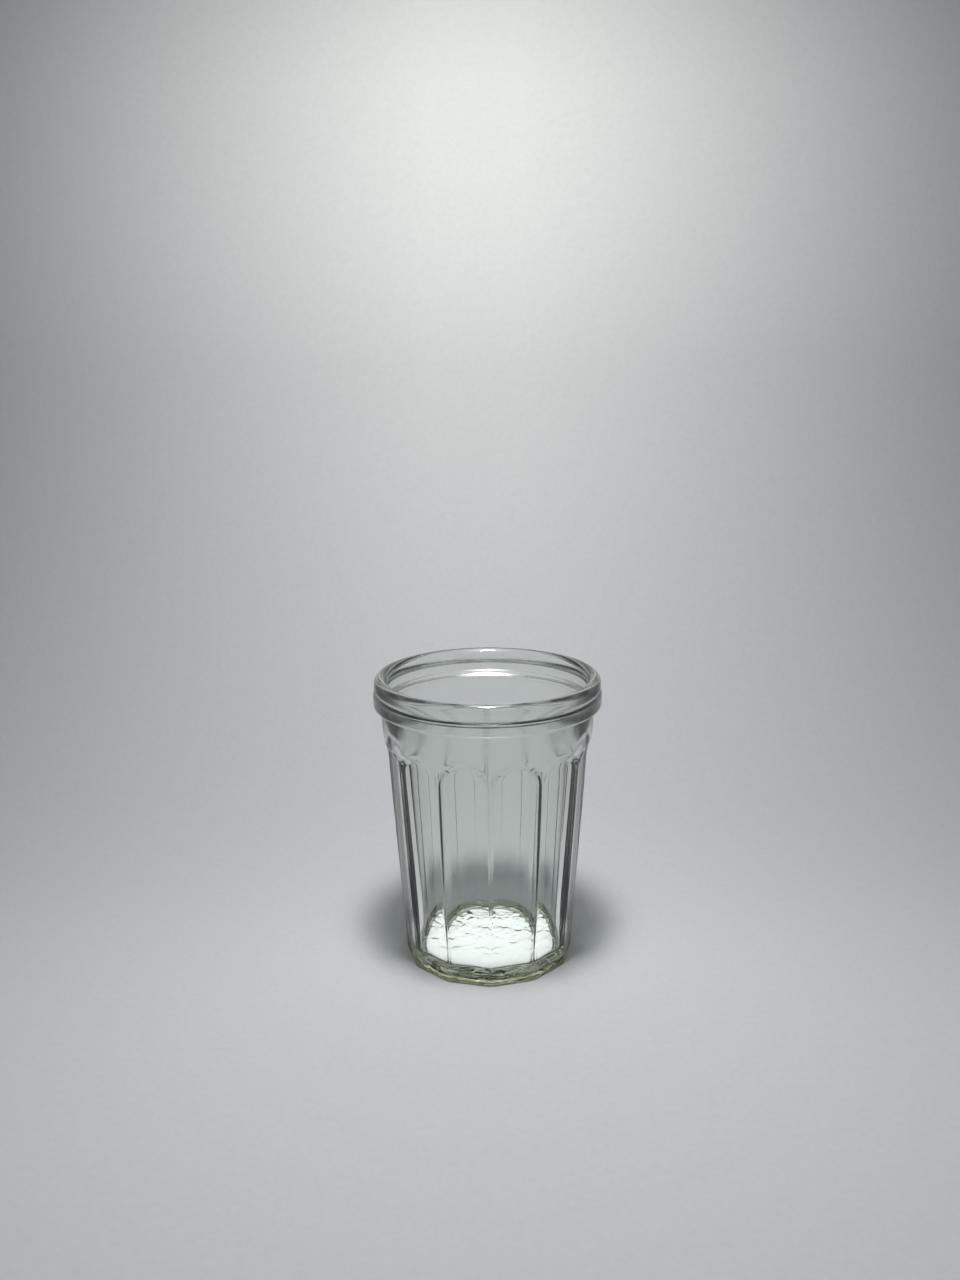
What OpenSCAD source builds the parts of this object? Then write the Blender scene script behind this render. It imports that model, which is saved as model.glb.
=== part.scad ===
// Pressed glass tumbler for tea, cut with flat arched panels under a plain neck and a rounded rim band.
// It is one gather of glass, pressed in one mould, so it is one solid.
// The origin is the middle of the resting face, and +Z runs up the axis of the glass.

/* [Overall] */
// Height from the table to the top of the lip
glass_h = 91; // [80:0.5:110]
// Diameter across the rounded band round the rim, the widest part of the glass
band_d = 70; // [60:0.5:90]
// Number of flat panels round the body
panel_count = 12; // [9:1:14]

/* [Rim] */
// How far the band stands out from the neck
band_out = 2.25; // [1.5:0.05:3]
// Height from the lower edge of the band to the top of the lip
band_h = 9.6; // [8:0.2:12]
// Height of the plain lip above the mould line on the band
lip_h = 5.2; // [4:0.1:6.5]
// How far the lip stands in from the band at the mould line
lip_step = 0.35; // [0.2:0.05:0.8]
// Thickness of the glass between the mouth and the neck
mouth_wall = 1.8; // [1.4:0.05:2.4]
// Radius of the round on the lower edge of the band
band_edge_r = 1.5; // [1:0.1:2]

/* [Neck] */
// Height of the plain neck from the arch tops to the band
neck_h = 11.6; // [8:0.1:14]
// Radius of the hollow where the neck runs out under the band
neck_fillet_r = 0.7; // [0.4:0.1:1]

/* [Panels] */
// How far the ribs stand in from the neck where the arches spring
shoulder_in = 1.7; // [1:0.05:2.5]
// How far the ribs draw in from the springing of the arches to the heel
body_taper = 4.65; // [3:0.05:6]
// How far the ribs swell out at half height
rib_bow = 0.25; // [0.1:0.05:0.4]
// Width of the ribs between the panels where the arches spring
rib_w = 1.8; // [1.2:0.1:2.6]
// Depth of the panels below the ribs where the arches spring
panel_depth = 0.5; // [0.3:0.05:0.8]
// Radius of the middle stretch of each arch
crown_r = 13; // [11:0.5:18]
// Radius of the corners of each arch
corner_r = 1.5; // [1:0.1:2.5]
// Slope of the panel sides, away from square to the panel
side_draft = 22; // [10:1:35]
// Upward slope of the cut at the head of each arch
arch_rake = 30; // [10:1:35]

/* [Inside] */
// Depth from the top of the lip to the rounded step inside the mouth
seat_depth = 7; // [5:0.1:10]
// How far the wall steps in below the mouth
seat_w = 0.8; // [0.4:0.1:1.2]
// Thickness of the wall behind the panels at the throat, level with the springing of the arches
throat_wall = 2.4; // [1.6:0.1:3]
// Thickness of the wall behind the panels at the heel
foot_wall = 2.8; // [2:0.1:4]
// Thickness of the floor at the middle
floor_t = 4; // [3:0.25:8]
// Radius of the round between the inside wall and the floor
well_r = 2.5; // [1.5:0.5:6]

/* [Foot] */
// Width of the flat ring that the glass rests on
ring_w = 3.6; // [2.5:0.1:6]
// Radius of the round on the heel
heel_r = 0.8; // [0.4:0.1:1.6]
// Height of the hollow under the floor at the middle
punt_h = 1; // [0.5:0.1:1.5]

/* [Hidden] */
$fn = 96;

// Steps along a round stretch of an outline
arc_steps = 10;
// Share of the neck's height over which the shoulder swells above the arches
swell_share = 0.67;
// Share of the step inside the mouth that its upper edge rounds off
seat_edge_share = 0.67;
// How far a cut runs past the glass
overrun = 1;

half_step = 180 / panel_count;
band_r = band_d / 2;
neck_r = band_r - band_out;
crest_r = neck_r - shoulder_in;
heel_in = crest_r - body_taper;
mouth_r = neck_r - mouth_wall;
lip_r = band_r - lip_step;
lip_round = (lip_r - mouth_r) / 2;
band_z = glass_h - band_h;
lip_z = glass_h - lip_h;
arch_top_z = band_z - neck_h;

// The arch is a middle round between two corner rounds, and their centres lie at its springing
panel_half = crest_r * sin(half_step) - rib_w / 2;
corner_u = panel_half - corner_r;
crown_drop = sqrt(pow(crown_r - corner_r, 2) - pow(corner_u, 2));
side_slope = tan(side_draft);
arch_slope = side_slope * cos(arch_rake);
arch_rise = (crown_r - crown_drop) / (cos(arch_rake) - arch_slope * sin(arch_rake));
spring_z = arch_top_z - arch_rise;

// The flats lean outwards as they rise, from the heel to the springing
flat_l = spring_z - heel_r;
flat_in_foot = heel_in * cos(half_step);
flat_in_top = sqrt(pow(crest_r, 2) - pow(panel_half, 2)) - panel_depth;
panel_lean = atan((flat_in_top - flat_in_foot) / flat_l);
cut_l = spring_z / cos(panel_lean) + overrun;
cut_out = neck_r - flat_in_foot + overrun;
arch_cut_out = (neck_r - flat_in_top + arch_rise * sin(arch_rake) + overrun) / cos(arch_rake);

// The ribs are the round body of the blank, which swells a little between heel and springing
rib_chord = sqrt(pow(crest_r - heel_in, 2) + pow(flat_l, 2));
rib_lean = atan((crest_r - heel_in) / flat_l);
rib_r = (pow(rib_chord / 2, 2) + pow(rib_bow, 2)) / (2 * rib_bow);
rib_sweep = asin(rib_chord / 2 / rib_r);

// The shoulder swells from the ribs at the springing to the neck, and runs upright into it
shoulder_h = neck_h * swell_share + arch_rise;
shoulder_r = (pow(shoulder_in, 2) + pow(shoulder_h, 2)) / (2 * shoulder_in);
shoulder_sweep = asin(shoulder_h / shoulder_r);

ring_out = heel_in - heel_r;
ring_in = ring_out - ring_w;
punt_r = (pow(ring_in, 2) + pow(punt_h, 2)) / (2 * punt_h);

// The inside is an upright mouth, a rounded step, a flare down to the throat and a plain cone below it
mouth_z = glass_h - lip_round;
seat_z = glass_h - seat_depth;
seat_r = mouth_r - seat_w;
seat_edge_r = seat_w * seat_edge_share;
seat_hollow_r = seat_w - seat_edge_r;
well_z = floor_t + well_r;
floor_edge_r = flat_in_foot - foot_wall;
throat_r = flat_in_top - throat_wall;
wall_lean = atan((throat_r - floor_edge_r) / (spring_z - well_z));
flare_h = seat_z - seat_edge_r - spring_z;
flare_chord = sqrt(pow(seat_r - throat_r, 2) + pow(flare_h, 2));
flare_turn = atan((seat_r - throat_r) / flare_h) - wall_lean;
flare_r = flare_chord / 2 / sin(flare_turn);
flare_lean = wall_lean + 2 * flare_turn;

// Points from angle a0 to a1 on a round of radius r about the centre c, without the first where another arc ends on it
function arc(c, r, a0, a1, first = 0) =
    [for (i = [first:arc_steps]) let (a = a0 + (a1 - a0) * i / arc_steps) c + r * [cos(a), sin(a)]];

// Outline of the glass before the panels are cut
module blank_outline() {
    heel_c = [ring_out, heel_r];
    rib_mid = [(heel_in + crest_r) / 2, (heel_r + spring_z) / 2];
    rib_c = rib_mid + (rib_bow - rib_r) * [cos(rib_lean), -sin(rib_lean)];
    shoulder_c = [neck_r - shoulder_r, spring_z + shoulder_h];
    fillet_c = [neck_r + neck_fillet_r, band_z - neck_fillet_r];
    edge_c = [band_r - band_edge_r, band_z + band_edge_r];
    lip_c = [lip_r - lip_round, mouth_z];
    polygon(concat(
        [[0, 0]],
        arc(heel_c, heel_r, -90, 0),
        arc(rib_c, rib_r, -rib_lean - rib_sweep, -rib_lean + rib_sweep, first = 1),
        arc(shoulder_c, shoulder_r, -shoulder_sweep, 0, first = 1),
        arc(fillet_c, neck_fillet_r, 180, 90),
        arc(edge_c, band_edge_r, -90, 0),
        [[band_r, lip_z - lip_step],
         [lip_r, lip_z]],
        arc(lip_c, lip_round, 0, 90),
        [[0, glass_h]]
    ));
}

module blank() {
    rotate_extrude() blank_outline();
}

// The flat of one panel, between sloping sides and under a head that rises outwards
module flat_cut() {
    side_growth = cut_out * side_slope;
    intersection() {
        translate([0, 0, -cut_l]) linear_extrude(height = cut_l + neck_h) polygon([
            [0, -panel_half],
            [cut_out, -panel_half - side_growth],
            [cut_out, panel_half + side_growth],
            [0, panel_half]
        ]);
        rotate([90, 0, 0]) linear_extrude(height = cut_l, center = true) polygon([
            [0, -cut_l],
            [cut_out, -cut_l],
            [cut_out, cut_out * tan(arch_rake)],
            [0, 0]
        ]);
    }
}

// One tapered round of the arch, which widens outwards from the flat of the panel
module arch_cone(r) {
    rotate([0, 90, 0]) cylinder(h = arch_cut_out, r1 = r, r2 = r + arch_cut_out * arch_slope);
}

// The wedge that keeps the middle stretch of the arch between its two corner rounds
module crown_wedge() {
    reach_share = 2 * crown_r / crown_drop;
    rotate([90, 0, 90]) linear_extrude(height = arch_cut_out) polygon([
        [0, -crown_drop],
        [corner_u * reach_share, crown_drop * (reach_share - 1)],
        [-corner_u * reach_share, crown_drop * (reach_share - 1)]
    ]);
}

// The head of a panel, one round between two corner rounds
module arch_cut() {
    intersection() {
        translate([0, 0, -crown_drop]) arch_cone(crown_r);
        crown_wedge();
    }
    for (side = [-1, 1]) translate([0, side * corner_u, 0]) arch_cone(corner_r);
}

// What one panel takes off the blank: a flat with a tapered arch at its head
module panel_cut() {
    translate([flat_in_top, 0, spring_z]) rotate([0, panel_lean, 0]) {
        flat_cut();
        intersection() {
            rotate([0, -arch_rake, 0]) arch_cut();
            translate([0, -neck_r, -neck_r]) cube(2 * neck_r);
        }
    }
}

// The space inside the glass
module well() {
    floor_c = [floor_edge_r - well_r, well_z];
    flare_c = [throat_r, spring_z] + flare_r * [cos(wall_lean), -sin(wall_lean)];
    edge_c = [seat_r + seat_edge_r, seat_z - seat_edge_r];
    hollow_c = [mouth_r - seat_hollow_r, seat_z + seat_hollow_r];
    lip_c = [lip_r - lip_round, mouth_z];
    rotate_extrude() polygon(concat(
        [[0, floor_t]],
        arc(floor_c, well_r, -90, -wall_lean),
        arc(flare_c, flare_r, 180 - wall_lean, 180 - flare_lean),
        arc(edge_c, seat_edge_r, 180 - flare_lean, 90),
        arc(hollow_c, seat_hollow_r, -90, 0),
        arc(lip_c, lip_round, 180, 90),
        [[lip_r - lip_round, glass_h + overrun],
         [0, glass_h + overrun]]
    ));
}

// The shallow hollow under the floor, inside the ring that the glass rests on
module punt() {
    translate([0, 0, punt_h - punt_r]) sphere(punt_r);
}

module tumbler() {
    color([0.86, 0.93, 0.9, 0.5]) difference() {
        blank();
        for (k = [0:panel_count - 1]) rotate([0, 0, (k + 0.5) * 2 * half_step - 90]) panel_cut();
        well();
        punt();
    }
}

tumbler();
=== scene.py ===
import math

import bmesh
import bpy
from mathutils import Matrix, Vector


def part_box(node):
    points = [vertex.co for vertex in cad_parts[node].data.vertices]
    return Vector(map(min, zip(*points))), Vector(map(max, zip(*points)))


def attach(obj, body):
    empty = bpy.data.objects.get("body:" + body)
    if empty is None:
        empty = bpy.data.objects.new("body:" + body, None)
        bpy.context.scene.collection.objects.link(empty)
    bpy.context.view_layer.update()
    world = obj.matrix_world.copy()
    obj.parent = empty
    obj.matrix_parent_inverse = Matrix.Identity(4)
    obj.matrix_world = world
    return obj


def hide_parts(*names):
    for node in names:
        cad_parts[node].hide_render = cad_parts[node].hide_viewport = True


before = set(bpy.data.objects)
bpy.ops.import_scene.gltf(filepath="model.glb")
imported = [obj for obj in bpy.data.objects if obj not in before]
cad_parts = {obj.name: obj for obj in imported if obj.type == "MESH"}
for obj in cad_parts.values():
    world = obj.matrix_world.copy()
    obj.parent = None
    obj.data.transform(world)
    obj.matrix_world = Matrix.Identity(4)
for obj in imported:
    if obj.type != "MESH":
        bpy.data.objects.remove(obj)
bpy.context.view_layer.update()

# A pressed glass tumbler for tea, standing on a sheet of pale paper under one soft lamp.
# The glass is one piece. Half of one panel's share of it is drawn from its sizes, skin by skin, and a
# Geometry Nodes tree mirrors that half and repeats it round the axis.
# Sizes of the glass are in millimetres. Places in the scene are in metres.

LOW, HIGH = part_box("tumbler")
MM = 0.001

# Overall, from the frame
GLASS_H = (HIGH[2] - LOW[2]) / MM
BAND_R = (HIGH[0] - LOW[0]) / 2 / MM

# Rim
BAND_OUT = 2.25
BAND_H = 9.6
BAND_EDGE_R = 1.5
LIP_H = 5.2
LIP_STEP = 0.35
MOUTH_WALL = 1.8
NECK_FILLET_R = 0.7

# Neck and shoulder
NECK_H = 11.6
SHOULDER_IN = 1.7
SHOULDER_LIFT = 2.0
SHOULDER_H = 12.0

# Panels and ribs
PANELS = 12
BODY_TAPER = 4.65
RIB_BOW = 0.25
RIB_W = 2.2
RIB_LEAST = 0.2
PANEL_DEPTH = 1.0
ARCH_RISE = 5.2
SIDE_SLOPE = math.tan(math.radians(50))
HEAD_SLOPE = math.tan(math.radians(48))
EDGE_SOFT = 0.45
RIB_SOFT = 0.75
RIB_SHARE = 0.75

# Inside
SEAT_DEPTH = 7.0
SEAT_W = 0.8
SEAT_EDGE_R = 0.55
THROAT_WALL = 2.4
FOOT_WALL = 2.8
FLOOR_T = 4.0
WELL_R = 2.5
CORNER_TO_ROUND = 14.0

# Foot
HEEL_R = 0.8
RING_W = 3.2
PUNT_H = 1.0
PUNT_STEP = 0.35

# The glass itself. The ripple is RIPPLE_SIZE from crest to crest.
GLASS_IOR = 1.52
SQUARE_GLANCE = ((GLASS_IOR - 1) / (GLASS_IOR + 1)) ** 2
GLASS_TONE = "#f9faf9"
GLASS_GREEN = "#cfe3cb"
GREEN_DENSITY = 6.0
RIPPLE_SIZE = 9.0
RIPPLE_SHARE = 0.12
RIPPLE_DEPTH = 0.1
SMOOTH_DETAIL = 1.0
# The olive of the thick heel: full below one height, gone above another, and only outside a radius
HEEL_TONE = "#dcdfc4"
HEEL_TONE_FULL = 2.5
HEEL_TONE_END = 4.0
HEEL_TONE_IN = 23.0
HEEL_TONE_BLUR = 1.0
# The orange peel above the panels and the share of it left on the lip
PEEL_FROM = 70.0
PEEL_FULL = 76.0
PEEL_ROUGH = 0.14
LIP_FROM = 88.0
LIP_CLEAR = 90.0
LIP_SHARE = 0.3
# The wrinkles on the floor and low on the heel, drawn out along X and twisted
CHILL_FULL = 4.2
CHILL_END = 6.0
CHILL_SIZE = 6.0
CHILL_DRAW = 2.0
CHILL_TWIST = 1.2
CHILL_DEPTH = 0.4
# The light that the glass lets through to the paper
PASS_POWER = 10.0
PASS_GAIN = 1.013
FLOOR_GATHER = 1.26
HEEL_SHADE = 0.6

# How finely the skins are drawn
ARCH_STEPS = 12
FLAT_STEPS = 3
BAND_STEPS = 9
RIB_STEPS = 3
SIDE_STEPS = 20
NECK_STEPS = 10
ROUND_STEPS = 6
WALL_STEPS = 14
FLOOR_STEPS = 6
RING_STEPS = 3
PUNT_STEPS = 8
PUNT_START = 0.95
WELD = 0.0005
# Rounds of the two searches for a skin, and the least sideways lean of an edge that can reach a rib
SURFACE_ROUNDS = 14
CREST_ROUNDS = 6
UPRIGHT = 0.01

# The paper, in metres. The gap is the air under the foot, which is not quite flat.
PAPER_GAP = 0.0002
PAPER_HALF_W = 0.28
PAPER_FRONT = -0.60
PAPER_BACK = 0.22
PAPER_BEND = 0.18
PAPER_TOP = 0.42
BEND_STEPS = 32
# Its tone, and the painted light that makes it paler up the middle of its back
PAPER_TONE = "#c3c6c7"
PAPER_PAINTED_LIGHT = "#fdfef9"
PAINTED_LIGHT_MIDDLE = 0.02
PAINTED_LIGHT_START_Z = 0.01
PAINTED_LIGHT_FULL_Z = 0.30
FIBRE_SIZE = 0.002
FIBRE_DETAIL = 3.0
FLECK = 0.05

# The lamp, which is a small bulb in a wide shade, and the room
LAMP_PLACE = (0, -0.072, 0.40)
LAMP_AIM = (0, 0, 0)
BULB_R = 0.03
BULB_W = 1.22
SHADE_R = 0.083
SHADE_W = 0.27
ROOM_TONE = "#141f30"
FAR_TONE = "#b4b9bc"

# The bent cards beside the glass. Their arcs are in degrees from the back of the stage. Only light that has
# crossed two surfaces of the glass, in and out, and was turned back between them meets the cards.
CARD_TONE = "#0c0c0e"
CARD_R = 0.038
CARD_H = 0.064
CARD_ARCS = ((38.0, 92.0), (110.0, 128.0))
CARD_STEPS = 16
SURFACES_CROSSED = 2
HALF_COUNT = 0.5

# The camera
CAMERA_BACK = 0.35441
CAMERA_UP = 0.18818
CAMERA_LENS = 33.78
CAMERA_PITCH = 0.2396
CAMERA_YAW = 0.0060
CAMERA_ROLL = -0.0084

# How often light may turn. Glances off the glass count apart, and few of them matter.
LIGHT_BLUR = 0.0
LIGHT_TURNS = 24
GLANCE_TURNS = 5

# The rib nearest the camera stands this much to the right of it. The stage turns the other way instead.
GLASS_TURN = math.radians(1.273)
STAGE_TURN = Matrix.Rotation(-GLASS_TURN, 4, "Z")

HALF_STEP = math.pi / PANELS
NECK_R = BAND_R - BAND_OUT
CREST_R = NECK_R - SHOULDER_IN
HEEL_IN = CREST_R - BODY_TAPER
LIP_R = BAND_R - LIP_STEP
MOUTH_R = NECK_R - MOUTH_WALL
BAND_Z = GLASS_H - BAND_H
ARCH_TOP_Z = BAND_Z - NECK_H
SPRING_Z = ARCH_TOP_Z - ARCH_RISE
PANEL_HALF = CREST_R * math.sin(HALF_STEP) - RIB_W / 2
FLAT_IN_FOOT = HEEL_IN * math.cos(HALF_STEP)
FLAT_IN_TOP = math.sqrt(CREST_R ** 2 - PANEL_HALF ** 2) - PANEL_DEPTH
SHOULDER_Z = SPRING_Z + SHOULDER_LIFT
SHOULDER_R = (SHOULDER_IN ** 2 + SHOULDER_H ** 2) / (2 * SHOULDER_IN)


def soft_max(a, b, reach):
    """The larger of two sizes, with the crease between them rounded off."""
    share = max(reach - abs(a - b), 0) / reach
    return max(a, b) + reach * share * share / 4


def soft_min(a, b, reach):
    """The smaller of two sizes, with the crease between them rounded off."""
    return -soft_max(-a, -b, reach)


def body_radius(z):
    """Radius of the round body without its panels: bowed ribs, a swelling shoulder and the neck."""
    if z >= SHOULDER_Z + SHOULDER_H:
        return NECK_R
    if z >= SHOULDER_Z:
        down = SHOULDER_Z + SHOULDER_H - z
        return NECK_R - SHOULDER_R + math.sqrt(SHOULDER_R ** 2 - down ** 2)
    share = (z - HEEL_R) / (SHOULDER_Z - HEEL_R)
    return HEEL_IN + BODY_TAPER * share + RIB_BOW * 4 * share * (1 - share)


def flat_in(z):
    """Distance from the axis to the flat of a panel at a height."""
    return FLAT_IN_FOOT + (FLAT_IN_TOP - FLAT_IN_FOOT) * (z - HEEL_R) / (SPRING_Z - HEEL_R)


def side_u(z):
    """Half the width of a panel at a height. At the foot, neighbouring panels all but meet."""
    return min(PANEL_HALF, flat_in(z) * math.tan(HALF_STEP) - RIB_LEAST)


def past_edge(u, z):
    """How far a point of a panel's plane lies outside the outline, and the slope of the edge there."""
    if z <= SPRING_Z:
        return u - side_u(z), SIDE_SLOPE
    across = Vector((u / PANEL_HALF ** 2, (z - SPRING_Z) / ARCH_RISE ** 2))
    share = math.hypot(u / PANEL_HALF, (z - SPRING_Z) / ARCH_RISE)
    way = across.normalized()
    return (share - 1) * share / across.length, math.hypot(SIDE_SLOPE * way[0], HEAD_SLOPE * way[1])


def panel_x(u, z):
    """Distance from the axis to a panel's surface: flat, hollow, sloping edge, crest and round body."""
    past, slope = past_edge(u, z)
    side = soft_max(0, past / slope, EDGE_SOFT)
    return soft_min(math.sqrt(body_radius(z) ** 2 - u ** 2), flat_in(z) + side, EDGE_SOFT)


def skin_radius(turn, z):
    """Radius of one panel's surface at an angle from its middle line."""
    radius = body_radius(z)
    for _ in range(SURFACE_ROUNDS):
        radius = panel_x(radius * math.sin(turn), z) / math.cos(turn)
    return radius


def skin_point(turn, z):
    """A point of the outer skin, where the neighbouring panel's surface meets this one in a rounded rib."""
    radius = soft_min(skin_radius(turn, z), skin_radius(2 * HALF_STEP - turn, z), RIB_SOFT)
    return (radius * math.cos(turn), radius * math.sin(turn), z)


def edge_points(u, z, across, slope):
    """Points across a panel's edge, from the flat to the crest or most of the way to the rib's middle line.
    across is the outward direction in the plane of the panel."""
    reach = EDGE_SOFT * slope
    crest = 0
    for _ in range(CREST_ROUNDS):
        body = math.sqrt(body_radius(z + crest * across[1]) ** 2 - (u + crest * across[0]) ** 2)
        crest = slope * max(body - flat_in(z + crest * across[1]), 0)
    end = crest + reach
    to_rib = flat_in(z) * math.tan(HALF_STEP) - u
    if across[0] > UPRIGHT:
        end = min(end, RIB_SHARE * to_rib / across[0])
    points = []
    for i in range(BAND_STEPS + 1):
        w = -reach + (end + reach) * i / BAND_STEPS
        out = u + w * across[0]
        up = z + w * across[1]
        points.append(skin_point(math.atan2(out, panel_x(out, up)), up))
    return points


def arch_edge(i):
    """Points across the arch's edge, the i-th of ARCH_STEPS from the springing to the crown."""
    turn = math.pi / 2 * i / ARCH_STEPS
    across = Vector((math.cos(turn) / PANEL_HALF, math.sin(turn) / ARCH_RISE)).normalized()
    slope = math.hypot(SIDE_SLOPE * across[0], HEAD_SLOPE * across[1])
    return edge_points(PANEL_HALF * math.cos(turn), SPRING_Z + ARCH_RISE * math.sin(turn), across, slope)


def round_points(centre, radius, start, end, first=0):
    """Points on a round stretch of an outline, from one angle to another in degrees."""
    angles = [math.radians(start + (end - start) * i / ROUND_STEPS) for i in range(first, ROUND_STEPS + 1)]
    return [(centre[0] + radius * math.cos(a), centre[1] + radius * math.sin(a)) for a in angles]


def rib_points(start, z):
    """Points on the rib, from the edge of the panel to the middle line of the rib."""
    turn = math.atan2(start[1], start[0])
    return [skin_point(turn + (HALF_STEP - turn) * i / RIB_STEPS, z) for i in range(1, RIB_STEPS + 1)]


def side_row(z):
    """One row across the half panel and the half rib beside it."""
    edge = edge_points(side_u(z), z, (1, 0), SIDE_SLOPE)
    inner = [arch_edge(i)[0][1] for i in range(ARCH_STEPS, 0, -1)]
    full = arch_edge(0)[0][1]
    flat = [(flat_in(z), u * edge[0][1] / full, z) for u in inner]
    return flat + edge + rib_points(edge[-1], z)


def spaced(start, end, steps):
    """Evenly spaced values, both ends among them."""
    return [start + (end - start) * i / steps for i in range(steps + 1)]


def side_skin():
    """Flat, edge and rib from the heel to the springing of the arch."""
    return [side_row(z) for z in spaced(HEEL_R, SPRING_Z, SIDE_STEPS)]


def head_skins():
    """The flat inside the arch, and the arch's own edge."""
    edges = [arch_edge(i) for i in range(ARCH_STEPS, -1, -1)]
    flat = []
    for share in spaced(0, 1, FLAT_STEPS):
        row = []
        for edge in edges:
            z = SPRING_Z + (edge[0][2] - SPRING_Z) * share
            row.append((flat_in(z), edge[0][1], z))
        flat.append(row)
    band = [[edge[k] for edge in edges] for k in range(BAND_STEPS + 1)]
    return flat, band


def neck_skin(top_z):
    """The shoulder between the arches and the plain neck above them."""
    bottom = [arch_edge(i)[-1] for i in range(ARCH_STEPS, -1, -1)]
    bottom += rib_points(bottom[-1], SPRING_Z)
    count = len(bottom) - 1
    rows = [bottom]
    for share in spaced(0, 1, NECK_STEPS)[1:]:
        row = []
        for i, point in enumerate(bottom):
            turn = math.atan2(point[1], point[0])
            a = turn + (HALF_STEP * i / count - turn) * share
            row.append(skin_point(a, point[2] + (top_z - point[2]) * share))
        rows.append(row)
    return rows


def rim_outline():
    """Outline from the neck over the band and lip to the seat inside the mouth."""
    lip_round = (LIP_R - MOUTH_R) / 2
    lip_c = (LIP_R - lip_round, GLASS_H - lip_round)
    fillet_c = (NECK_R + NECK_FILLET_R, BAND_Z - NECK_FILLET_R)
    edge_c = (BAND_R - BAND_EDGE_R, BAND_Z + BAND_EDGE_R)
    line_z = GLASS_H - LIP_H
    return (
        round_points(fillet_c, NECK_FILLET_R, 180, 90)
        + round_points(edge_c, BAND_EDGE_R, -90, 0)
        + round_points((BAND_R - LIP_STEP, line_z - LIP_STEP), LIP_STEP, 0, 90)
        + round_points(lip_c, lip_round, 0, 90)
        + round_points(lip_c, lip_round, 90, 180, first=1)
    )


def well_outline():
    """Outline of the inside from the seat down to the middle of the floor."""
    seat_r = MOUTH_R - SEAT_W
    seat_z = GLASS_H - SEAT_DEPTH
    hollow_r = SEAT_W - SEAT_EDGE_R
    floor_edge = FLAT_IN_FOOT - FOOT_WALL
    throat = FLAT_IN_TOP - THROAT_WALL
    low_z = FLOOR_T + WELL_R
    lean = math.atan((throat - floor_edge) / (SPRING_Z - low_z))
    flare = (seat_r - throat, seat_z - SEAT_EDGE_R - SPRING_Z)
    turn = math.atan(flare[0] / flare[1]) - lean
    flare_r = math.hypot(*flare) / 2 / math.sin(turn)
    flare_c = (throat + flare_r * math.cos(lean), SPRING_Z - flare_r * math.sin(lean))
    lean = math.degrees(lean)
    turn = math.degrees(turn)
    wall = [
        (throat + (floor_edge - throat) * share, SPRING_Z + (low_z - SPRING_Z) * share)
        for share in spaced(0, 1, WALL_STEPS)
    ]
    return (
        round_points((MOUTH_R - hollow_r, seat_z + hollow_r), hollow_r, 0, -90)
        + round_points((seat_r + SEAT_EDGE_R, seat_z - SEAT_EDGE_R), SEAT_EDGE_R, 90, 180 - lean - 2 * turn)
        + round_points(flare_c, flare_r, 180 - lean - 2 * turn, 180 - lean, first=1)
        + wall[1:-1]
        + round_points((floor_edge - WELL_R, low_z), WELL_R, -lean, -90)
        + [((floor_edge - WELL_R) * share, FLOOR_T) for share in spaced(1, 0, FLOOR_STEPS)[1:]]
    )


def turned_skin(outline):
    """A round skin over the half panel's angle. Low down the inside it takes on the corners of the panels."""
    count = ARCH_STEPS + RIB_STEPS
    rows = []
    for r, z in outline:
        row = []
        inside = r < CREST_R - THROAT_WALL
        corner = max(0, 1 - max(z - FLOOR_T, 0) / CORNER_TO_ROUND) ** 2 if inside else 0
        for i in range(count + 1):
            a = HALF_STEP * i / count
            out = r * (1 + corner * (1 / math.cos(a) - 1))
            row.append((out * math.cos(a), out * math.sin(a), z))
        rows.append(row)
    return rows


def foot_skin():
    """The rounded heel, the resting ring and the hollow under the floor."""
    top = side_row(HEEL_R)
    rows = []
    for i in range(ROUND_STEPS + 1):
        a = math.pi / 2 * i / ROUND_STEPS
        share = 1 - HEEL_R * (1 - math.cos(a)) / FLAT_IN_FOOT
        rows.append([(x * share, u * share, HEEL_R * (1 - math.sin(a))) for x, u, _ in top])
    ring_in = FLAT_IN_FOOT - HEEL_R - RING_W
    inner = [(ring_in, 0), (ring_in - PUNT_STEP, PUNT_STEP)]
    for share in spaced(PUNT_START, 0, PUNT_STEPS):
        inner.append((ring_in * share, PUNT_STEP + (PUNT_H - PUNT_STEP) * (1 - share * share)))
    outer = rows[-1]
    for share in spaced(0, 1, RING_STEPS)[1:-1]:
        rows.append([on_ring(p, ring_in, share) for p in outer])
    for r, z in inner:
        rows.append([on_circle(p, r, z) for p in outer])
    return rows


def on_circle(point, radius, z):
    """A point on a circle about the axis, in the direction of another point."""
    reach = math.hypot(point[0], point[1])
    return (radius * point[0] / reach, radius * point[1] / reach, z)


def on_ring(point, ring_in, share):
    """A point on the resting ring, part of the way from its outer edge to its round inner edge."""
    radius = math.hypot(point[0], point[1])
    scale = (radius + (ring_in - radius) * share) / radius
    return (point[0] * scale, point[1] * scale, 0)


def half_panel_mesh():
    """All skins of the half panel, welded into one sheet with its faces outward."""
    flat, band = head_skins()
    rim = rim_outline()
    foot = foot_skin()
    skins = [
        (side_skin(), False),
        (flat, False),
        (band, False),
        (neck_skin(rim[0][1]), False),
        (turned_skin(rim + well_outline()), False),
        (foot, True),
    ]
    made = bmesh.new()
    for rows, downward in skins:
        rings = [[made.verts.new(Vector(p) * MM) for p in row] for row in rows]
        for low, high in zip(rings, rings[1:]):
            for i in range(len(low) - 1):
                corners = (low[i], low[i + 1], high[i + 1], high[i])
                made.faces.new(reversed(corners) if downward else corners)
    bmesh.ops.remove_doubles(made, verts=made.verts, dist=WELD * MM)
    bmesh.ops.dissolve_degenerate(made, edges=made.edges, dist=WELD * MM / 10)
    mesh = bpy.data.meshes.new("half_panel")
    made.to_mesh(mesh)
    made.free()
    return mesh


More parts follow.
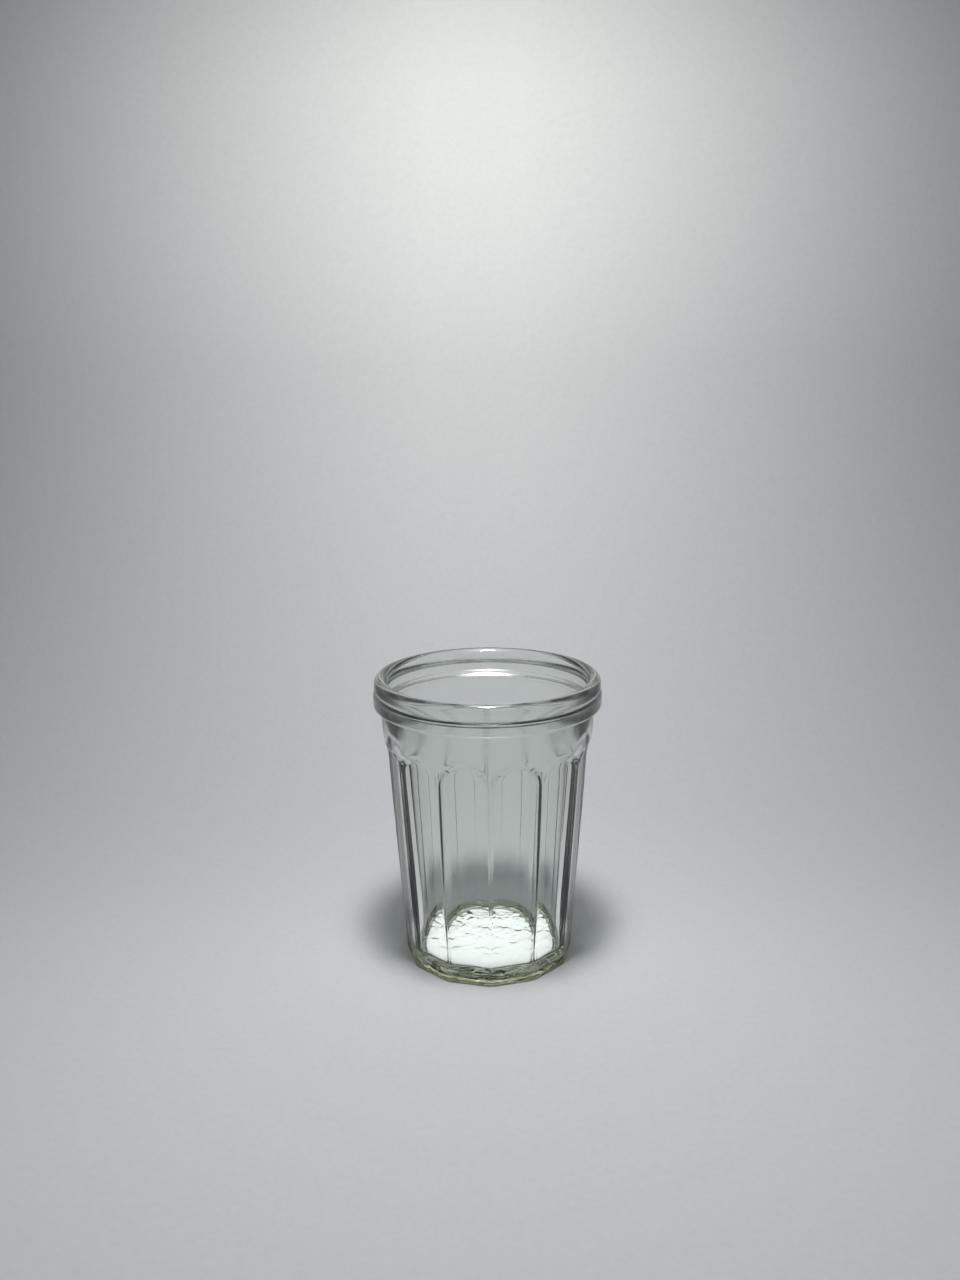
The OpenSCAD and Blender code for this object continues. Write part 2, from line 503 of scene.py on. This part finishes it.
def add(tree, kind, inputs=None, **settings):
    """Adds one node with its settings and links, and returns it. Inputs go by their name or their number."""
    node = tree.nodes.new(kind)
    for name, value in settings.items():
        setattr(node, name, value)
    for name, value in (inputs or {}).items():
        if isinstance(value, bpy.types.NodeSocket):
            tree.links.new(value, node.inputs[name])
        else:
            node.inputs[name].default_value = value
    return node


def repeat_tree():
    """Mirrors the half panel at its middle line and repeats it round the axis of the glass."""
    tree = bpy.data.node_groups.new("panels_round_the_axis", "GeometryNodeTree")
    face = tree.interface
    face.new_socket("Half panel", in_out="INPUT", socket_type="NodeSocketGeometry")
    face.new_socket("Panels", in_out="INPUT", socket_type="NodeSocketInt")
    face.new_socket("Weld distance", in_out="INPUT", socket_type="NodeSocketFloat")
    face.new_socket("Glass", in_out="INPUT", socket_type="NodeSocketMaterial")
    face.new_socket("Tumbler", in_out="OUTPUT", socket_type="NodeSocketGeometry")
    given = add(tree, "NodeGroupInput").outputs
    other = add(tree, "GeometryNodeTransform", {"Geometry": given["Half panel"], "Scale": (1, -1, 1)})
    turned = add(tree, "GeometryNodeFlipFaces", {"Mesh": other.outputs[0]})
    whole = add(tree, "GeometryNodeJoinGeometry")
    tree.links.new(given["Half panel"], whole.inputs[0])
    tree.links.new(turned.outputs[0], whole.inputs[0])
    index = add(tree, "GeometryNodeInputIndex")
    middle = add(tree, "ShaderNodeMath", {0: index.outputs[0], 1: 1 / 2}, operation="ADD")
    pitch = add(tree, "ShaderNodeMath", {0: 2 * math.pi, 1: given["Panels"]}, operation="DIVIDE")
    angle = add(tree, "ShaderNodeMath", {
        0: middle.outputs[0], 1: pitch.outputs[0], 2: -math.pi / 2}, operation="MULTIPLY_ADD")
    turn = add(tree, "ShaderNodeCombineXYZ", {"Z": angle.outputs[0]})
    places = add(tree, "GeometryNodePoints", {"Count": given["Panels"]})
    copies = add(tree, "GeometryNodeInstanceOnPoints", {
        "Points": places.outputs[0], "Instance": whole.outputs[0], "Rotation": turn.outputs[0]})
    real = add(tree, "GeometryNodeRealizeInstances", {"Geometry": copies.outputs[0]})
    welded = add(tree, "GeometryNodeMergeByDistance", {
        "Geometry": real.outputs[0], "Distance": given["Weld distance"]})
    smooth = add(tree, "GeometryNodeSetShadeSmooth", {"Geometry": welded.outputs[0]})
    dressed = add(tree, "GeometryNodeSetMaterial", {
        "Geometry": smooth.outputs[0], "Material": given["Glass"]})
    add(tree, "NodeGroupOutput", {"Tumbler": dressed.outputs[0]})
    return tree


def plain_result(name, mesh, tree, values):
    """Runs a tree on a mesh and returns its result as a plain mesh object at the origin."""
    source = bpy.data.objects.new(name + "_source", mesh)
    bpy.context.scene.collection.objects.link(source)
    modifier = source.modifiers.new("repeat", "NODES")
    modifier.node_group = tree
    sockets = {item.name: item.identifier for item in tree.interface.items_tree if item.in_out == "INPUT"}
    for key, value in values.items():
        modifier[sockets[key]] = value
    seen = source.evaluated_get(bpy.context.evaluated_depsgraph_get())
    result = bpy.data.meshes.new_from_object(seen)
    result.name = name
    bpy.data.objects.remove(source)
    piece = bpy.data.objects.new(name, result)
    bpy.context.scene.collection.objects.link(piece)
    return piece


def linear(code):
    """An sRGB hex colour as the linear colour that shaders take."""
    parts = [int(code[i:i + 2], 16) / 255 for i in (1, 3, 5)]
    return tuple(p / 12.92 if p <= 0.04045 else ((p + 0.055) / 1.055) ** 2.4 for p in parts) + (1,)


def pressed_glass():
    """Pressed soda-lime glass, fire-polished: clear and smooth, with the slow ripple that the mould leaves
    and a faint green that only its thick parts show. Heights and distances in it are in metres."""
    material = bpy.data.materials.new("pressed_soda_lime_glass")
    material.use_nodes = True
    tree = material.node_tree
    tree.nodes.clear()
    place = add(tree, "ShaderNodeTexCoord").outputs["Object"]
    height = add(tree, "ShaderNodeSeparateXYZ", {"Vector": place}).outputs["Z"]
    ripple = add(tree, "ShaderNodeTexNoise", {
        "Vector": place, "Scale": 1 / (RIPPLE_SIZE * MM), "Detail": SMOOTH_DETAIL})
    bump = add(tree, "ShaderNodeBump", {
        "Height": ripple.outputs["Fac"], "Strength": RIPPLE_SHARE, "Distance": RIPPLE_DEPTH * MM})
    # Above the panels the mould leaves a fine orange peel, which the fire polish clears from the lip
    neck = add(tree, "ShaderNodeMapRange", {
        "Value": height, "From Min": PEEL_FROM * MM, "From Max": PEEL_FULL * MM, "To Max": PEEL_ROUGH})
    lip = add(tree, "ShaderNodeMapRange", {
        "Value": height, "From Min": LIP_FROM * MM, "From Max": LIP_CLEAR * MM,
        "To Min": 1.0, "To Max": LIP_SHARE})
    peel = add(tree, "ShaderNodeMath", {0: neck.outputs[0], 1: lip.outputs[0]}, operation="MULTIPLY")
    # The thick heel shows its olive green
    heel = add(tree, "ShaderNodeMapRange", {
        "Value": height, "From Min": HEEL_TONE_FULL * MM, "From Max": HEEL_TONE_END * MM,
        "To Min": 1.0, "To Max": 0.0})
    flat_place = add(tree, "ShaderNodeVectorMath", {0: place, 1: (1, 1, 0)}, operation="MULTIPLY")
    from_axis = add(tree, "ShaderNodeVectorMath", {0: flat_place.outputs[0]}, operation="LENGTH")
    outer = add(tree, "ShaderNodeMapRange", {
        "Value": from_axis.outputs["Value"], "From Min": HEEL_TONE_IN * MM,
        "From Max": (HEEL_TONE_IN + HEEL_TONE_BLUR) * MM})
    olive = add(tree, "ShaderNodeMath", {0: heel.outputs[0], 1: outer.outputs[0]}, operation="MULTIPLY")
    tone = add(tree, "ShaderNodeMix", {
        "Factor": olive.outputs[0], "A": linear(GLASS_TONE), "B": linear(HEEL_TONE)}, data_type="RGBA")
    # The floor and the heel have wrinkles where the gather chilled in the mould
    low = add(tree, "ShaderNodeMapRange", {
        "Value": height, "From Min": CHILL_FULL * MM, "From Max": CHILL_END * MM,
        "To Min": 1.0, "To Max": 0.0})
    drawn_out = add(tree, "ShaderNodeMapping", {"Vector": place, "Scale": (1 / CHILL_DRAW, 1, 1)})
    wrinkle = add(tree, "ShaderNodeTexNoise", {
        "Vector": drawn_out.outputs[0], "Scale": 1 / (CHILL_SIZE * MM),
        "Detail": SMOOTH_DETAIL, "Distortion": CHILL_TWIST})
    deep = add(tree, "ShaderNodeMath", {0: wrinkle.outputs["Fac"], 1: low.outputs[0]}, operation="MULTIPLY")
    chill = add(tree, "ShaderNodeBump", {
        "Height": deep.outputs[0], "Strength": 1.0, "Distance": CHILL_DEPTH * MM, "Normal": bump.outputs[0]})
    body = add(tree, "ShaderNodeBsdfGlass", {
        "Color": tone.outputs["Result"], "Roughness": peel.outputs[0],
        "IOR": GLASS_IOR, "Normal": chill.outputs[0]})
    # Light that crosses a surface squarely reaches the paper, and light that grazes it is turned aside.
    # The thick floor gathers some more, and the heel keeps some back.
    glance = add(tree, "ShaderNodeFresnel", {"IOR": GLASS_IOR})
    passed = add(tree, "ShaderNodeMapRange", {
        "Value": glance.outputs[0], "From Min": SQUARE_GLANCE, "To Min": PASS_GAIN, "To Max": 0.0})
    straight = add(tree, "ShaderNodeMath", {0: passed.outputs[0], 1: PASS_POWER}, operation="POWER")
    heel_shade = add(tree, "ShaderNodeMapRange", {
        "Value": olive.outputs[0], "To Min": 1.0, "To Max": 1 - HEEL_SHADE})
    gathered = add(tree, "ShaderNodeMapRange", {
        "Value": low.outputs[0], "To Min": 1.0, "To Max": FLOOR_GATHER})
    by_floor = add(tree, "ShaderNodeMath", {
        0: straight.outputs[0], 1: gathered.outputs[0]}, operation="MULTIPLY")
    onto_paper = add(tree, "ShaderNodeMath", {
        0: by_floor.outputs[0], 1: heel_shade.outputs[0]}, operation="MULTIPLY")
    clear = add(tree, "ShaderNodeBsdfTransparent", {"Color": onto_paper.outputs[0]})
    path = add(tree, "ShaderNodeLightPath").outputs
    skin = add(tree, "ShaderNodeMixShader", {
        "Fac": path["Is Shadow Ray"], 1: body.outputs[0], 2: clear.outputs[0]})
    tint = add(tree, "ShaderNodeVolumeAbsorption", {"Color": linear(GLASS_GREEN), "Density": GREEN_DENSITY})
    add(tree, "ShaderNodeOutputMaterial", {"Surface": skin.outputs[0], "Volume": tint.outputs[0]})
    return material


def drawing_paper():
    """Matt drawing paper, pale blue-grey and a little uneven in tone, with painted light that makes it paler
    up the middle of its back.
    """
    material = bpy.data.materials.new("pale_matt_paper_with_painted_light")
    material.use_nodes = True
    tree = material.node_tree
    tree.nodes.clear()
    place = add(tree, "ShaderNodeTexCoord").outputs["Object"]
    parts = add(tree, "ShaderNodeSeparateXYZ", {"Vector": place}).outputs
    # Painted light: towards the middle and up the back, the colour turns paler, as if the lamp lit it more
    # there
    aside = add(tree, "ShaderNodeMath", {0: parts["X"]}, operation="ABSOLUTE")
    middle = add(tree, "ShaderNodeMapRange", {
        "Value": aside.outputs[0], "From Min": PAINTED_LIGHT_MIDDLE, "From Max": PAPER_HALF_W,
        "To Min": 1.0, "To Max": 0.0})
    painted_light_rise = add(tree, "ShaderNodeMapRange", {
        "Value": parts["Z"], "From Min": PAINTED_LIGHT_START_Z, "From Max": PAINTED_LIGHT_FULL_Z})
    pale = add(tree, "ShaderNodeMath", {0: middle.outputs[0], 1: painted_light_rise.outputs[0]}, operation="MULTIPLY")
    tone = add(tree, "ShaderNodeMix", {
        "Factor": pale.outputs[0], "A": linear(PAPER_TONE), "B": linear(PAPER_PAINTED_LIGHT)}, data_type="RGBA")
    fibre = add(tree, "ShaderNodeTexNoise", {
        "Vector": place, "Scale": 1 / FIBRE_SIZE, "Detail": FIBRE_DETAIL})
    fleck = add(tree, "ShaderNodeMapRange", {
        "Value": fibre.outputs["Fac"], "To Min": 1 - FLECK, "To Max": 1 + FLECK})
    mottled = add(tree, "ShaderNodeVectorMath", {
        0: tone.outputs["Result"], "Scale": fleck.outputs[0]}, operation="SCALE")
    matt = add(tree, "ShaderNodeBsdfDiffuse", {"Color": mottled.outputs[0]})
    add(tree, "ShaderNodeOutputMaterial", {"Surface": matt.outputs[0]})
    return material


def paper_sheet():
    """The sheet of paper that the glass stands on, bent up behind it."""
    line = [(PAPER_FRONT, 0)]
    for a in spaced(0, math.pi / 2, BEND_STEPS):
        line.append((PAPER_BACK - PAPER_BEND * (1 - math.sin(a)), PAPER_BEND * (1 - math.cos(a))))
    line.append((PAPER_BACK, PAPER_TOP))
    made = bmesh.new()
    rows = [[made.verts.new((x, y, z)) for x in (-PAPER_HALF_W, PAPER_HALF_W)] for y, z in line]
    for low, high in zip(rows, rows[1:]):
        made.faces.new((low[0], low[1], high[1], high[0])).smooth = True
    made.transform(STAGE_TURN @ Matrix.Translation((0, 0, -PAPER_GAP)))
    mesh = bpy.data.meshes.new("paper")
    made.to_mesh(mesh)
    made.free()
    mesh.materials.append(drawing_paper())
    sheet = bpy.data.objects.new("paper", mesh)
    bpy.context.scene.collection.objects.link(sheet)


def black_card():
    """Matt black card. Only light turned back inside the wall of the glass meets it."""
    material = bpy.data.materials.new("matt_black_card")
    material.use_nodes = True
    tree = material.node_tree
    tree.nodes.clear()
    path = add(tree, "ShaderNodeLightPath").outputs
    in_and_out = add(tree, "ShaderNodeMath", {
        0: path["Transmission Depth"], 1: SURFACES_CROSSED, 2: HALF_COUNT}, operation="COMPARE")
    turned_back = add(tree, "ShaderNodeMath", {
        0: path["Glossy Depth"], 1: HALF_COUNT}, operation="GREATER_THAN")
    caught = add(tree, "ShaderNodeMath", {
        0: in_and_out.outputs[0], 1: turned_back.outputs[0]}, operation="MULTIPLY")
    clear = add(tree, "ShaderNodeBsdfTransparent")
    matt = add(tree, "ShaderNodeBsdfDiffuse", {"Color": linear(CARD_TONE)})
    seen = add(tree, "ShaderNodeMixShader", {
        "Fac": caught.outputs[0], 1: clear.outputs[0], 2: matt.outputs[0]})
    add(tree, "ShaderNodeOutputMaterial", {"Surface": seen.outputs[0]})
    return material


def side_cards():
    """Bent black cards on both sides of the glass, which draw the dark lines along its ribs."""
    made = bmesh.new()
    for side in (-1, 1):
        for start, end in CARD_ARCS:
            turns = [math.radians(a) * side for a in spaced(start, end, CARD_STEPS)]
            foot = [made.verts.new((CARD_R * math.sin(a), CARD_R * math.cos(a), 0)) for a in turns]
            top = [made.verts.new((v.co.x, v.co.y, CARD_H)) for v in foot]
            for i in range(CARD_STEPS):
                made.faces.new((foot[i], foot[i + 1], top[i + 1], top[i]))
    made.transform(STAGE_TURN)
    mesh = bpy.data.meshes.new("side_cards")
    made.to_mesh(mesh)
    made.free()
    mesh.materials.append(black_card())
    cards = bpy.data.objects.new("side_cards", mesh)
    bpy.context.scene.collection.objects.link(cards)
    cards.visible_camera = False
    cards.visible_diffuse = False
    cards.visible_shadow = False


def lamp(name, radius, watts):
    """A round soft lamp over the glass, which faces its foot."""
    light = bpy.data.lights.new(name, "AREA")
    light.shape = "DISK"
    light.size = 2 * radius
    light.energy = watts
    holder = bpy.data.objects.new(name, light)
    bpy.context.scene.collection.objects.link(holder)
    facing = (Vector(LAMP_AIM) - Vector(LAMP_PLACE)).to_track_quat("-Z", "Y").to_matrix().to_4x4()
    holder.matrix_world = STAGE_TURN @ Matrix.Translation(LAMP_PLACE) @ facing


def room():
    """The dim room round the lit paper. The camera and the glass see its far wall pale."""
    world = bpy.data.worlds.new("room")
    bpy.context.scene.world = world
    world.use_nodes = True
    tree = world.node_tree
    tree.nodes.clear()
    path = add(tree, "ShaderNodeLightPath").outputs
    by_glass = add(tree, "ShaderNodeMath", {
        0: path["Is Transmission Ray"], 1: path["Is Glossy Ray"]}, operation="MAXIMUM")
    seen = add(tree, "ShaderNodeMath", {
        0: path["Is Camera Ray"], 1: by_glass.outputs[0]}, operation="MAXIMUM")
    dim = add(tree, "ShaderNodeBackground", {"Color": linear(ROOM_TONE), "Strength": 1.0})
    pale = add(tree, "ShaderNodeBackground", {"Color": linear(FAR_TONE), "Strength": 1.0})
    sky = add(tree, "ShaderNodeMixShader", {
        "Fac": seen.outputs[0], 1: dim.outputs[0], 2: pale.outputs[0]})
    add(tree, "ShaderNodeOutputWorld", {"Surface": sky.outputs[0]})


def camera():
    """The photograph's view."""
    data = bpy.data.cameras.new("camera")
    data.lens = CAMERA_LENS
    holder = bpy.data.objects.new("camera", data)
    bpy.context.scene.collection.objects.link(holder)
    holder.matrix_world = (
        STAGE_TURN
        @ Matrix.Translation((0, -CAMERA_BACK, CAMERA_UP))
        @ Matrix.Rotation(CAMERA_YAW, 4, "Z")
        @ Matrix.Rotation(math.pi / 2 - CAMERA_PITCH, 4, "X")
        @ Matrix.Rotation(CAMERA_ROLL, 4, "Z")
    )
    bpy.context.scene.camera = holder


glass = plain_result("tumbler_glass", half_panel_mesh(), repeat_tree(), {
    "Panels": PANELS, "Weld distance": WELD * MM, "Glass": pressed_glass()})
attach(glass, "root")
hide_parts("tumbler")

paper_sheet()
lamp("bulb", BULB_R, BULB_W)
lamp("shade", SHADE_R, SHADE_W)
side_cards()
room()
camera()
bpy.context.scene.cycles.blur_glossy = LIGHT_BLUR
bpy.context.scene.cycles.max_bounces = LIGHT_TURNS
bpy.context.scene.cycles.glossy_bounces = GLANCE_TURNS
bpy.context.scene.cycles.transmission_bounces = LIGHT_TURNS
bpy.context.scene.view_settings.view_transform = "Standard"
